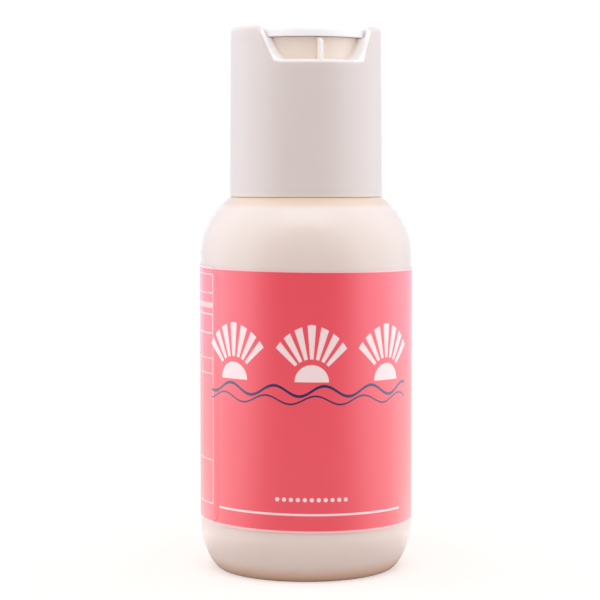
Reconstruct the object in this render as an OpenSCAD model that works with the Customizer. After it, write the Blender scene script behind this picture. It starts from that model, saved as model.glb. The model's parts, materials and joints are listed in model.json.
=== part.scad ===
/* [Bottle body] */
// Outside diameter of the body
body_d = 31.5; // [29:0.1:36]
// Height at which the straight body ends and the shoulder begins
body_top = 46.6; // [40:0.1:60]
// Wall thickness of the blown body, shoulder and base
wall = 0.9; // [0.6:0.05:1.2]
// Radius of the shoulder's arc
shoulder_r = 11; // [10:0.1:12]
// Rise from the end of the straight body to the flat land round the neck
shoulder_rise = 8.8; // [7.5:0.1:9.2]
// Height of the heel curve that joins the body to the base
heel_h = 6.3; // [5:0.1:7]
// Width that the heel curve draws in at the base
heel_w = 2.9; // [2.2:0.1:4]
// Fullness of the heel curve, 2 being a plain ellipse
heel_power = 1.6; // [1.5:0.1:2.4]
// Width of the flat ring that the bottle stands on
foot_ring_w = 1.2; // [0.8:0.1:2]
// Height of the hollow under the base
push_up = 1.5; // [0.8:0.1:2.5]

/* [Neck and thread] */
// Outside diameter of the neck's plain wall
neck_d = 17.3; // [16.8:0.1:17.8]
// Diameter of the neck's bore
neck_bore_d = 14.6; // [13.6:0.1:15]
// Height of the neck above the land
neck_h = 13.3; // [12.5:0.1:15]
// Depth of the thread from the neck's wall to its crest
thread_depth = 1.15; // [0.9:0.05:1.3]
// Rise of the thread in one turn
thread_pitch = 3.175; // [3:0.005:3.4]
// Turns of thread on the neck
neck_turns = 1.5; // [1.25:0.25:1.75]
// Turns of thread inside the closure
closure_turns = 1.25; // [1:0.25:1.5]
// Width of the thread's flat crest
thread_crest = 0.8; // [0.6:0.05:0.9]
// Angle of the thread's flanks to the horizontal
thread_flank = 30; // [25:1:32]
// Distance from the lip down to the thread
lip_to_thread = 1.2; // [0.8:0.1:1.5]
// Round on the lip's edges
lip_round = 0.3; // [0.15:0.05:0.4]

/* [Closure] */
// Gap between the closure's skirt and the land
skirt_gap = 0.1; // [0.05:0.05:0.6]
// Thickness of the skirt's wall at the top
skirt_wall = 1.15; // [1:0.05:1.5]
// Widening of the skirt's radius from top to bottom
skirt_flare = 0.2; // [0:0.05:0.4]
// Clearance between the neck's thread and the skirt's inside
thread_clear = 0.2; // [0.15:0.05:0.35]
// Clearance between the closure's thread and the neck's wall
crest_clear = 0.3; // [0.2:0.05:0.4]
// Gap along the axis between the two threads' loaded flanks
flank_gap = 0.15; // [0.12:0.01:0.2]
// Thickness of the deck over the neck
deck_t = 1; // [0.8:0.05:1.4]
// Depth of the well from the rim down to the deck
well_depth = 9.6; // [8.8:0.1:11]
// Thickness of the rim's wall round the well
rim_wall = 1.2; // [1:0.05:1.5]
// Round on the rim's outer edge
rim_round = 0.7; // [0.3:0.05:0.9]
// Height of the bead that keeps the liner in
bead_h = 0.4; // [0.3:0.05:0.6]
// Reach of that bead under the liner's edge
bead_reach = 0.35; // [0.2:0.05:0.5]

/* [Front recess] */
// Depth of the recess below the rim
recess_depth = 5.1; // [4:0.1:5.6]
// How far the recess goes in from the closure's outside
recess_in = 2.45; // [2:0.05:2.8]
// Half of the recess's opening at the rim, in degrees round the axis
recess_top_angle = 51; // [46:1:56]
// Half of the recess's opening at its floor, in degrees round the axis
recess_floor_angle = 36.5; // [34:0.5:42]
// Round between the recess's floor and its cheeks
recess_round = 1.6; // [0.8:0.1:2]
// Thickness of the recess's floor and back wall
recess_wall = 0.9; // [0.7:0.05:1.2]
// Thickness of the upright rib in the middle of the recess
rib_t = 0.5; // [0.4:0.05:0.8]
// Drop of the rib's top edge from the back wall to its front
rib_drop = 0.7; // [0.3:0.1:1.2]
// Setback of the rib's front edge from the closure's outside
rib_setback = 0.15; // [0.05:0.05:0.5]

/* [Disc] */
// Thickness of the disc
disc_t = 1.55; // [1.2:0.05:1.7]
// Round on the disc's top edge
disc_round = 0.4; // [0.2:0.05:0.6]
// Gap between the disc's edge and the well's wall
disc_gap = 0.25; // [0.2:0.05:0.35]
// Depth of the disc's top below the rim
disc_sink = 0.15; // [0:0.05:0.4]
// Depth of the pivot's axis below the disc's top
pivot_drop = 1.85; // [1.6:0.05:2.1]
// Diameter of the pivot pins
pin_d = 1.6; // [1.2:0.1:1.8]
// Reach of each pivot pin past the well's wall
pin_reach = 0.6; // [0.4:0.05:0.65]
// Radial clearance of each pivot pin in its socket
pin_clear = 0.05; // [0.03:0.01:0.09]
// Tilt of the disc when it is open, in degrees
open_tilt = 28; // [24:1:32]
// Depth of the thumb hollow in the disc's rear half
thumb_depth = 0.45; // [0.2:0.05:0.6]
// Radius of the ball that the thumb hollow follows
thumb_ball_r = 14; // [10:1:20]

/* [Spout and valve] */
// Outside diameter of the spout under the disc
spout_d = 3.8; // [3.4:0.1:4.4]
// Diameter of the spout's channel
spout_bore_d = 2.4; // [2:0.1:2.6]
// Gap between the spout's mouth and the recess's back wall
mouth_gap = 0.6; // [0.5:0.05:0.9]
// Radius of the rotary valve about the pivot's axis
valve_r = 5; // [4.6:0.1:5.4]
// Width of the rotary valve
valve_w = 4.2; // [3.8:0.1:5]
// Diameter of the port through the deck and the valve
port_d = 2.2; // [1.8:0.1:2.2]
// Outside diameter of the post that carries the port up to the valve
post_d = 5.8; // [5:0.1:6.4]
// Running clearance between the valve and its post
valve_clear = 0.06; // [0.04:0.01:0.1]

/* [Liner] */
// Thickness of the foam sealing ring
liner_t = 1; // [0.8:0.1:1.5]
// Diameter of the ring's hole
liner_hole_d = 9; // [7:0.5:12]
// Gap above and below the ring
liner_gap = 0.05; // [0.02:0.01:0.1]
// Gap round the ring's outer edge
liner_edge_gap = 0.15; // [0.1:0.05:0.3]

/* [Label] */
// Thickness of the label film
label_t = 0.1; // [0.05:0.01:0.2]
// Thickness of the glue line between the bottle and the film
label_glue = 0.02; // [0.01:0.01:0.05]
// Bare strip between the heel curve and the label
label_foot = 1.3; // [0.5:0.1:4]
// Bare strip between the label and the shoulder
label_head = 1.4; // [0.5:0.1:4]
// Length of the overlap where the label's ends meet
label_overlap = 5; // [2:0.5:10]
// Place of the overlap's visible end, in degrees round from the front
label_seam = -65; // [-180:5:180]

/* [Hidden] */
$fn = 96;

// Cutters and joined pieces run this far past the faces they meet
over = 0.3;
// Steps in one arc of a turned outline
arc_steps = 16;
// Degrees between two sections of a thread
thread_step = 10;
// Length over which a thread fades out at each end, in degrees
thread_fade = 50;
// Half of the space that a cutter needs to clear the whole closure
far = 20;

body_r = body_d / 2;
foot_out_r = body_r - heel_w;
foot_in_r = foot_out_r - foot_ring_w;
shoulder_x = body_r - shoulder_r;
land_z = body_top + shoulder_rise;
neck_r = neck_d / 2;
bore_r = neck_bore_d / 2;
lip_z = land_z + neck_h;

thread_r = neck_r + thread_depth;
thread_root = thread_crest / 2 + thread_depth * tan(thread_flank);
neck_thread_z = lip_z - lip_to_thread - thread_root - neck_turns * thread_pitch;
skirt_in_r = thread_r + thread_clear;
closure_crest_r = neck_r + crest_clear;
closure_depth = skirt_in_r - closure_crest_r;
flank_room = thread_pitch / 2 - thread_crest / 2 - (thread_r - closure_crest_r) * tan(thread_flank);
closure_crest = 2 * (flank_room - 2 * flank_gap);
closure_thread_z = neck_thread_z - thread_pitch / 2 + flank_gap;

liner_z = lip_z + liner_gap;
liner_r = skirt_in_r - liner_edge_gap;
deck_z = liner_z + liner_t + liner_gap;
deck_top = deck_z + deck_t;
rim_z = deck_top + well_depth;
skirt_z = land_z + skirt_gap;
closure_top_r = skirt_in_r + skirt_wall;
closure_foot_r = closure_top_r + skirt_flare;
well_r = closure_top_r - rim_wall;

disc_r = well_r - disc_gap;
disc_top = rim_z - disc_sink;
disc_under = disc_top - disc_t;
pivot_z = disc_top - pivot_drop;
pin_r = pin_d / 2;
pin_tip = well_r + pin_reach;
pin_root = disc_r - 2.4;

recess_z = rim_z - recess_depth;
recess_r = closure_top_r - recess_in;
recess_in_r = recess_r - recess_wall;
recess_top_z = disc_under - 0.1;
cheek_dir = (recess_top_angle + recess_floor_angle) / 2;
cheek_x0 = closure_top_r * sin(recess_floor_angle - cheek_dir);
cheek_x1 = closure_top_r * sin(recess_top_angle - cheek_dir);
cheek_lean = atan((cheek_x1 - cheek_x0) / recess_depth);
cheek_cover = 6;

spout_r = spout_d / 2;
spout_z = disc_under - spout_r + over;
mouth_r = recess_in_r - mouth_gap;
label_r = body_r + label_glue;
label_z = heel_h + label_foot;
label_h = body_top - label_head - label_z;

// Points along an arc of radius r about [x, z], from angle a0 to a1
function arc(x, z, r, a0, a1) = [
    for (i = [0 : arc_steps])
        let (a = a0 + (a1 - a0) * i / arc_steps)
        [x + r * cos(a), z + r * sin(a)]
];

// Heel curve from the foot at radius r0 and height z0 up to radius r1 and height z1
function heel(r0, z0, r1, z1) = [
    for (i = [0 : arc_steps])
        let (u = 1 - cos(90 * i / arc_steps))
        [r0 + (r1 - r0) * pow(1 - pow(1 - u, heel_power), 1 / heel_power), z0 + (z1 - z0) * u]
];

// Shallow dome from the axis down to radius r, starting at height z_mid and ending at z_edge
function dome(r, z_mid, z_edge) = [
    for (i = [0 : arc_steps])
        let (u = i / arc_steps)
        [r * u, z_edge + (z_mid - z_edge) * (1 + cos(180 * u)) / 2]
];

// Angle at which the shoulder's arc of radius r reaches height rise above its start
function shoulder_end(r, rise) = asin(rise / r);

function bottle_outside() = concat(
    dome(foot_in_r, push_up, 0),
    heel(foot_out_r, 0, body_r, heel_h),
    arc(shoulder_x, body_top, shoulder_r, 0, shoulder_end(shoulder_r, shoulder_rise)),
    [[neck_r, land_z]],
    arc(neck_r - lip_round, lip_z - lip_round, lip_round, 0, 90)
);

function bottle_inside() = concat(
    dome(foot_in_r, push_up + wall, wall),
    heel(foot_out_r, wall, body_r - wall, heel_h),
    arc(shoulder_x, body_top, shoulder_r - wall, 0, shoulder_end(shoulder_r - wall, shoulder_rise - wall)),
    [[bore_r, land_z - wall], [bore_r, lip_z - lip_round]],
    [[bore_r + lip_round, lip_z]]
);

// The list of points in the opposite order
function backwards(points) = [for (i = [len(points) - 1 : -1 : 0]) points[i]];

// Helical ridge as one closed form: it stands on radius root_r and reaches radius crest_r
module ridge(root_r, root_half, crest_r, crest_half, z0, turns) {
    steps = round(turns * 360 / thread_step);
    fade_steps = thread_fade / thread_step;
    buried = 0.9 * over / abs(crest_r - root_r);
    points = [
        for (i = [0 : steps])
            let (
                a = i * thread_step,
                f = max(buried, min(1, i / fade_steps, (steps - i) / fade_steps)),
                z = z0 + thread_pitch * a / 360,
                tip_r = root_r + f * (crest_r - root_r),
                tip = root_half + f * (crest_half - root_half),
                outward = crest_r > root_r,
                r0 = outward ? root_r : tip_r,
                h0 = outward ? root_half : tip,
                r1 = outward ? tip_r : root_r,
                h1 = outward ? tip : root_half
            )
            each [
                [r0 * cos(a), r0 * sin(a), z - h0],
                [r1 * cos(a), r1 * sin(a), z - h1],
                [r1 * cos(a), r1 * sin(a), z + h1],
                [r0 * cos(a), r0 * sin(a), z + h0]
            ]
    ];
    sides = [
        for (i = [0 : steps - 1], k = [0 : 3])
            let (
                a = 4 * i + k,
                b = 4 * i + (k + 1) % 4
            )
            each [[a, b, b + 4], [a, b + 4, a + 4]]
    ];
    last = 4 * steps;
    ends = [
        [2, 1, 0],
        [3, 2, 0],
        [last, last + 1, last + 2],
        [last, last + 2, last + 3]
    ];
    polyhedron(points = points, faces = concat(sides, ends));
}

// A round bar of radius r along X between x0 and x1, at [y, z]
module bar_x(r, x0, x1, y, z) {
    translate([x0, y, z])
        rotate([0, 90, 0])
            cylinder(r = r, h = x1 - x0);
}

// A round bar of radius r along Y between y0 and y1, at height z in the middle
module bar_y(r, y0, y1, z) {
    translate([0, y1, z])
        rotate([90, 0, 0])
            cylinder(r = r, h = y1 - y0);
}

// Blow-moulded bottle with its threaded neck
module bottle() {
    color("#EFE6DD")
        union() {
            rotate_extrude()
                polygon(concat(bottle_outside(), backwards(bottle_inside())));
            ridge(
                neck_r - over,
                thread_root + over * tan(thread_flank),
                thread_r,
                thread_crest / 2,
                neck_thread_z,
                neck_turns
            );
        }
}

// Wrap-round film label whose ends overlap at the seam
module label() {
    color("#E4606B")
        union() {
            translate([0, 0, label_z])
                difference() {
                    cylinder(r = label_r + label_t, h = label_h);
                    translate([0, 0, -over])
                        cylinder(r = label_r, h = label_h + 2 * over);
                }
            overlap_angle = label_overlap / label_r * 180 / PI;
            rotate([0, 0, label_seam - 90 - overlap_angle])
                rotate_extrude(angle = overlap_angle)
                    translate([label_r + label_t / 2, label_z])
                        square([label_t * 1.5, label_h]);
        }
}

// Soft foam ring that seals the neck's lip against the deck
module liner() {
    color("#F7F4EC")
        translate([0, 0, liner_z])
            difference() {
                cylinder(r = liner_r, h = liner_t);
                translate([0, 0, -over])
                    cylinder(d = liner_hole_d, h = liner_t + 2 * over);
            }
}

// Turned outline of the closure: skirt, liner bead, deck, well and rim
module closure_shell() {
    bead_z = liner_z - liner_gap - bead_h;
    rotate_extrude()
        polygon(concat(
            [[0, deck_z], [skirt_in_r, deck_z], [skirt_in_r, bead_z + bead_h]],
            [[skirt_in_r - bead_reach, bead_z + bead_h / 2], [skirt_in_r, bead_z]],
            [[skirt_in_r, skirt_z + over], [skirt_in_r + over, skirt_z], [closure_foot_r, skirt_z]],
            arc(closure_top_r - rim_round, rim_z - rim_round, rim_round, 0, 90),
            [[well_r, rim_z], [well_r, deck_top], [0, deck_top]]
        ));
}

// Half of the recess's opening: all that lies inside one slanted cheek and above the floor
module recess_side() {
    turn = 90 - cheek_lean;
    tangent = recess_round * tan(turn / 2);
    rise = recess_depth + over;
    rotate([0, 0, cheek_dir])
        translate([0, 2, 0])
            rotate([90, 0, 0])
                linear_extrude(far)
                    polygon(concat(
                        [[-far, recess_z]],
                        arc(cheek_x0 - tangent, recess_z + recess_round, recess_round, -90, turn - 90),
                        [[cheek_x0 + rise * tan(cheek_lean), rim_z + over], [-far, rim_z + over]]
                    ));
}

// The recess's whole opening, from its back wall outwards
module recess_cut() {
    difference() {
        intersection() {
            recess_side();
            mirror([1, 0, 0])
                recess_side();
        }
        translate([0, 0, recess_z - over])
            cylinder(r = recess_r, h = recess_depth + 3 * over);
    }
}

// Floor, back wall and cheeks that close the well behind the recess
module recess_walls() {
    half = recess_top_angle + cheek_cover;
    low = recess_z - recess_wall;
    rotate([0, 0, -90 - half])
        rotate_extrude(angle = 2 * half)
            translate([recess_in_r, low])
                square([well_r + over - recess_in_r, recess_top_z - low]);
}

// Upright rib in the middle of the recess, with a sloping top edge
module recess_rib() {
    front = closure_top_r - rib_setback;
    back = recess_r - over;
    translate([rib_t / 2, 0, 0])
        rotate([0, -90, 0])
            linear_extrude(rib_t)
                polygon([
                    [recess_z - over, -back],
                    [recess_z - over, -front],
                    [recess_top_z - rib_drop, -front],
                    [recess_top_z, -recess_r],
                    [recess_top_z, -back]
                ]);
}

// Post that leads the port from the deck up to the rotary valve
module valve_post() {
    difference() {
        translate([0, 0, deck_top - over])
            cylinder(d = post_d, h = pivot_z - deck_top);
        bar_x(valve_r + valve_clear, -post_d, post_d, 0, pivot_z);
    }
}

// Threaded closure with the well, recess, port and pivot sockets
module closure() {
    color("#F1ECEA")
        union() {
            difference() {
                union() {
                    closure_shell();
                    recess_walls();
                    valve_post();
                }
                recess_cut();
                translate([0, 0, deck_z - over])
                    cylinder(d = port_d, h = pivot_z - deck_z);
                bar_x(pin_r + pin_clear, -pin_tip - 0.1, pin_tip + 0.1, 0, pivot_z);
            }
            recess_rib();
            ridge(
                skirt_in_r + over,
                closure_crest / 2 + (closure_depth + over) * tan(thread_flank),
                closure_crest_r,
                closure_crest / 2,
                closure_thread_z,
                closure_turns
            );
        }
}

// Rotary valve and spout under the disc, cut to the curves that they turn through
module spout() {
    intersection() {
        union() {
            bar_y(spout_r, -disc_r, 0, spout_z);
            intersection() {
                bar_x(valve_r, -valve_w / 2, valve_w / 2, 0, pivot_z);
                translate([-far, -far, pivot_z - valve_r])
                    cube([2 * far, 2 * far, valve_r + disc_under - pivot_z + over]);
            }
        }
        bar_x(mouth_r, -far, far, 0, pivot_z);
    }
}

// Channel from the spout's mouth to the valve's port
module spout_channel() {
    bend = (pivot_z - spout_z) / cos(open_tilt);
    bar_y(spout_bore_d / 2, -disc_r - over, bend * sin(open_tilt), spout_z);
    translate([0, 0, pivot_z])
        rotate([open_tilt, 0, 0])
            translate([0, 0, -valve_r - over])
                cylinder(d = port_d, h = valve_r + over - bend);
}

// Tilting disc with its spout, rotary valve and pivot pins
module disc() {
    color("#F4EFED")
        difference() {
            union() {
                rotate_extrude()
                    polygon(concat(
                        [[0, disc_under], [disc_r, disc_under]],
                        arc(disc_r - disc_round, disc_top - disc_round, disc_round, 0, 90),
                        [[0, disc_top]]
                    ));
                spout();
                for (side = [0, 1])
                    mirror([side, 0, 0])
                        bar_x(pin_r, pin_root, pin_tip, 0, pivot_z);
            }
            spout_channel();
            translate([0, disc_r / 2, disc_top - thumb_depth + thumb_ball_r])
                sphere(r = thumb_ball_r);
        }
}

bottle();
label();
liner();
closure();
disc();
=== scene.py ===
"""Sunscreen bottle: a blow-moulded bottle with a wrap-round label and a disc-top closure.

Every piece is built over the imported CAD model, in metres, with the front of the closure towards -Y.
Angles go round the axis from the front towards +X.
"""

import json
import math

import bmesh
import bpy
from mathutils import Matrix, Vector

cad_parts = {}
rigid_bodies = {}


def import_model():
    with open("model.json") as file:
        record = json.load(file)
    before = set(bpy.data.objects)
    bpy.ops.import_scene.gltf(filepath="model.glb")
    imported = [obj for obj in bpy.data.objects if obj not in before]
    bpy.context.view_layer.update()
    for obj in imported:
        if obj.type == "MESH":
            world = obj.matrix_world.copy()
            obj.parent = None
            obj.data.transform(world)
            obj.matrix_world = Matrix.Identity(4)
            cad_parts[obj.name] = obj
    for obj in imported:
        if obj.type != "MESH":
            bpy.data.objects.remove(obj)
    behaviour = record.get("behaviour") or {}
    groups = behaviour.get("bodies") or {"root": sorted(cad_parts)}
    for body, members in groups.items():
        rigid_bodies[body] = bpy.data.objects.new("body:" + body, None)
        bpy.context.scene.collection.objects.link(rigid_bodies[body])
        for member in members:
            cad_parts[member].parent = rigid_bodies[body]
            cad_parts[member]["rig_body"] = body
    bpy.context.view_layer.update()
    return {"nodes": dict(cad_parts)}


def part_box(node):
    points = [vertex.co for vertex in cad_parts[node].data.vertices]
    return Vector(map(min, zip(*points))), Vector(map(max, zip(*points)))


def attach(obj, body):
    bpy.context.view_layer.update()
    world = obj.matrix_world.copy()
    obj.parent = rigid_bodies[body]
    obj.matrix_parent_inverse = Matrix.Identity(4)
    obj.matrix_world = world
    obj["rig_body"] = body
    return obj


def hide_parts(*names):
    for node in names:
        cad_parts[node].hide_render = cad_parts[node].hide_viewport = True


bl_info = {
    "name": "Sunscreen bottle",
    "version": (1, 0, 0),
    "blender": (4, 5, 0),
    "location": "View3D > Sidebar > Bottle",
    "description": "Builds a small bottle with a wrap-round label and a disc-top closure",
    "category": "Object",
}

MM = 0.001
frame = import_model()

BOTTLE_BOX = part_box("bottle")
LABEL_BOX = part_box("label")
LINER_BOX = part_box("liner")
CLOSURE_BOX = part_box("closure")
DISC_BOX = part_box("disc")

# Edges that turn more than this stay crisp
CRISP_ANGLE = math.radians(32)
# A tool that joins or cuts a piece runs this far past the faces it meets
OVER = 0.3 * MM
# The kinds of node that are used in chains
MATHS, VECTORS = "ShaderNodeMath", "ShaderNodeVectorMath"
# What the camera sees behind the floor
WHITE = (1, 1, 1, 1)


def linear(code):
    """The linear colour of an sRGB hex code."""
    parts = [int(code[i : i + 2], 16) / 255 for i in (0, 2, 4)]
    return [p / 12.92 if p <= 0.04045 else ((p + 0.055) / 1.055) ** 2.4 for p in parts]


def length(name, description, value):
    """A size in metres, shown in the scene's own unit."""
    return bpy.props.FloatProperty(
        name=name, description=description, default=value, min=0, unit="LENGTH", precision=5
    )


def angle(name, description, degrees):
    """An angle, shown in degrees."""
    return bpy.props.FloatProperty(
        name=name, description=description, default=math.radians(degrees), subtype="ANGLE"
    )


def colour(name, description, code):
    """A colour, kept linear."""
    return bpy.props.FloatVectorProperty(
        name=name, description=description, default=linear(code), subtype="COLOR", min=0, max=1
    )


def power(name, description, value):
    """The power of a lamp in watts."""
    return bpy.props.FloatProperty(
        name=name, description=description, default=value, min=0, unit="POWER"
    )


def number(name, description, value, least=0):
    """A plain number."""
    return bpy.props.FloatProperty(
        name=name, description=description, default=value, min=least, precision=4
    )


class BottleSizes(bpy.types.PropertyGroup):
    """Sizes and colour of the blow-moulded bottle."""

    body_radius: length("Body radius", "Outside radius of the body", BOTTLE_BOX[1].x)
    body_top: length("Body top", "Height at which the shoulder begins", 46.6 * MM)
    shoulder_radius: length("Shoulder radius", "Radius of the shoulder's arc", 11 * MM)
    land_height: length("Land height", "Height of the flat land round the neck", 55.46 * MM)
    neck_radius: length("Neck radius", "Outside radius of the neck's plain wall", 8.65 * MM)
    bore_radius: length("Bore radius", "Radius of the neck's bore", 7.3 * MM)
    lip_height: length("Lip height", "Height of the neck's lip", BOTTLE_BOX[1].z)
    wall: length("Wall", "Thickness of the blown wall", 0.9 * MM)
    heel_height: length("Heel height", "Height of the heel curve", 6.3 * MM)
    heel_width: length("Heel width", "Width that the heel draws in", 2.9 * MM)
    heel_power: number("Heel fullness", "2 is a plain ellipse", 1.6, 1)
    foot_ring: length("Foot ring", "Width of the ring that the bottle stands on", 1.2 * MM)
    push_up: length("Push-up", "Height of the hollow under the base", 1.5 * MM)
    tint: colour("Resin", "Colour of the bottle's resin", "F3E2DA")


class ThreadSizes(bpy.types.PropertyGroup):
    """Sizes of the threads on the neck and in the closure."""

    pitch: length("Pitch", "Rise of the thread in one turn", 3.175 * MM)
    neck_crest: length("Neck crest", "Radius of the neck thread's crest", 9.8 * MM)
    neck_start: length("Neck start", "Height of the neck thread's lower end", 61.674 * MM)
    neck_turns: number("Neck turns", "Turns of the neck's thread", 1.5)
    closure_crest: length("Closure crest", "Radius of the closure thread's crest", 8.95 * MM)
    closure_start: length("Closure start", "Height of that thread's lower end", 60.236 * MM)
    closure_turns: number("Closure turns", "Turns of the closure's thread", 1.25)
    crest_width: length("Crest width", "Width of a thread's flat crest", 0.8 * MM)
    flank: angle("Flank", "Angle of the thread's flanks", 30)
    fade: angle("Fade", "Length over which a thread fades out", 50)


class ClosureSizes(bpy.types.PropertyGroup):
    """Sizes and colours of the moulded closure."""

    foot_radius: length("Foot radius", "Radius at the skirt's foot", CLOSURE_BOX[1].x)
    top_radius: length("Top radius", "Radius below the rim", 11.15 * MM)
    foot_height: length("Foot height", "Height of the skirt's foot", CLOSURE_BOX[0].z)
    rim_height: length("Rim height", "Height of the rim", CLOSURE_BOX[1].z)
    rim_round: length("Rim round", "Round on the rim's outer edge", 0.7 * MM)
    inside_radius: length("Inside radius", "Radius inside the skirt", 10 * MM)
    deck_low: length("Deck underside", "Height of the deck's underside", 69.8 * MM)
    deck_high: length("Deck top", "Height of the deck's top", 70.8 * MM)
    well_radius: length("Well radius", "Radius of the well under the disc", 9.95 * MM)
    floor_height: length("Recess floor", "Height of the front recess's floor", 75.3 * MM)
    block_low: length("Recess underside", "Height of the underside of its walls", 74.4 * MM)
    block_high: length("Recess wall top", "Height of the recess's back wall", 78.66 * MM)
    back_radius: length("Back wall", "Radius of the recess's back wall", 8.7 * MM)
    inner_radius: length("Inner wall", "Radius inside that back wall", 7.8 * MM)
    floor_angle: angle("Floor half-angle", "Half of the opening at its floor", 36.5)
    rim_angle: angle("Rim half-angle", "Half of the opening at the rim", 51)
    block_angle: angle("Block half-angle", "Half of the block behind the recess", 57)
    floor_blend: length("Floor corner", "Softness of the corner at the floor", 2.2 * MM)
    cheek_blend: length("Cheek top", "Softness of the cheek's top corner", 1.5 * MM)
    cheek_round: length("Cheek edge", "Round on the recess's front edge", 0.6 * MM)
    rib_width: length("Rib width", "Thickness of the rib in the recess", 0.5 * MM)
    tint: colour("Resin", "Colour of the closure's resin", "E4DBD8")
    # Painted light: the lip of the opening is painted bright
    glow: colour("Glow", "Colour of the lip of its opening", "FFFCFA")
    # Painted light: the walls inside the opening are painted warm, for light that shines through the thin
    # plastic
    depth: colour("Depth", "Colour of the walls inside its opening", "FCE7DB")
    # Painted light: the foot of the skirt is painted warm, for light bouncing up from the shoulder
    foot: colour("Foot", "Colour of the skirt's foot", "F3E6D2")


class DiscSizes(bpy.types.PropertyGroup):
    """Sizes and colours of the tilting disc, its spout and its valve."""

    radius: length("Radius", "Radius of the disc", 9.7 * MM)
    top: length("Top", "Height of the disc's top", DISC_BOX[1].z)
    thickness: length("Thickness", "Thickness of the disc", 1.55 * MM)
    pivot_height: length("Pivot height", "Height of the pivot's axis", 78.4 * MM)
    pin_radius: length("Pin radius", "Radius of each pivot pin", 0.8 * MM)
    pin_root: length("Pin root", "How far inside the disc's edge a pin starts", 2.4 * MM)
    pin_tip: length("Pin reach", "Distance from the axis to a pin's tip", DISC_BOX[1].x)
    hollow_depth: length("Hollow depth", "Depth of the thumb hollow", 0.45 * MM)
    hollow_ball: length("Hollow radius", "Radius of the ball it follows", 14 * MM)
    spout_radius: length("Spout radius", "Outside radius of the spout", 1.9 * MM)
    spout_bore: length("Spout bore", "Radius of the spout's channel", 1.2 * MM)
    spout_height: length("Spout height", "Height of the spout's axis", 77.1 * MM)
    mouth_radius: length("Mouth", "Distance of the mouth from the pivot", 7.2 * MM)
    valve_radius: length("Valve radius", "Radius of the rotary valve", 5 * MM)
    valve_width: length("Valve width", "Width of the rotary valve", 4.2 * MM)
    port_radius: length("Port radius", "Radius of the port", 1.1 * MM)
    open_tilt: angle("Open tilt", "Tilt of the open disc", 28)
    tint: colour("Resin", "Colour of the disc's resin", "EDE7E5")
    # Painted light: the disc's thin edge is painted brighter, for light that passes through it from the
    # top
    edge: colour("Edge", "Colour of the disc's thin edge", "FFFDFE")


class LabelSizes(bpy.types.PropertyGroup):
    """Sizes and colours of the wrap-round label."""

    radius: length("Radius", "Radius of the film's back", 15.77 * MM)
    thickness: length("Thickness", "Thickness of the film", 0.1 * MM)
    low: length("Lower edge", "Height of the label's lower edge", LABEL_BOX[0].z)
    high: length("Upper edge", "Height of the label's upper edge", LABEL_BOX[1].z)
    overlap: length("Overlap", "Length over which the ends overlap", 5 * MM)
    corner: length("Corner", "Round on the visible end's corners", 2 * MM)
    seam: angle("Seam", "Place of the visible end", -65)
    skew: length("Skew", "Rise of the film from its start to its end", 0.15 * MM)
    lean: number("Lean", "How far the film sinks to the right, as a slope", 0.0125)
    lean_side: angle("Lean side", "Side from which it sinks to the right", -12)
    print_middle: angle("Print's middle", "Place of the middle of the print", -9)
    ground: colour("Ground", "Coral ground of the print", "F85061")
    light: colour("Light ink", "Pale ink of the fans and fine lines", "FFE9EA")
    dark: colour("Dark ink", "Navy ink of the waves", "1C0B5A")
    film: colour("Film", "White film where it is cut", "F2CDD1")


class StageSettings(bpy.types.PropertyGroup):
    """Light, floor and camera."""

    fill: colour("Fill", "Soft light from all round", "F6F3F2")
    shine: number("Shine", "Brightness of the sides in the reflections", 2.5)
    floor_shine: number("Floor shine", "Extra brightness of the floor there", 1.3)
    shine_from: angle("Shine from", "Where that brightness begins, from the camera", 20)
    shine_to: angle("Shine to", "Where it is full, from the camera", 72)
    rear_from: angle("Rear from", "Where it begins to fall, from the camera", 105)
    rear_to: angle("Rear to", "Where it has fallen, from the camera", 158)
    rear_shine: number("Rear shine", "Brightness behind in the reflections", 1.2)
    rear_floor_shine: number("Rear floor shine", "Extra brightness of the floor behind", 0.35)
    floor: colour("Floor", "Colour of the floor", "D0C8C3")
    floor_lift: number("Floor lift", "Brightness added where the camera sees the floor", 0.45)
    floor_reach: length("Floor reach", "Radius of the floor", 320 * MM)
    lamps: colour("Lamps", "Colour of the lamps", "EAF2FF")
    lamp_height: length("Lamp height", "Height of each lamp's own face", 450 * MM)
    side_power: power("Side lamps", "Power of each lamp at the sides", 0.85)
    side_turn: angle("Side lamps' turn", "How far round from the camera they stand", 105)
    side_distance: length("Side lamps' distance", "Level distance from the axis", 600 * MM)
    side_height: length("Side lamps' place", "Height at which they stand", 120 * MM)
    side_width: length("Side lamps' width", "Width of each lamp's own face", 550 * MM)
    top_power: power("Top lamp", "Power of the lamp above", 1.05)
    top_distance: length("Top lamp's distance", "Level distance from the axis", 330 * MM)
    top_height: length("Top lamp's place", "Height at which it hangs", 780 * MM)
    top_width: length("Top lamp's width", "Width of that lamp's own face", 640 * MM)
    lens: number("Lens", "Focal length in millimetres", 118.48, 1)
    distance: length("Distance", "Level distance of the camera from the axis", 295.26 * MM)
    height: length("Height", "Height of the camera", 58.77 * MM)
    pitch: angle("Pitch", "How far the camera looks down", 3.633)
    side: angle("Side", "Place of the camera round the bottle", -12)
    off_middle: number("Off middle", "Share of the picture's width that the bottle is moved right", 0.01)


def around(radius, height, turn):
    """The point at that radius and height, turned from the front towards +X."""
    return Vector((radius * math.sin(turn), -radius * math.cos(turn), height))


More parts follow.
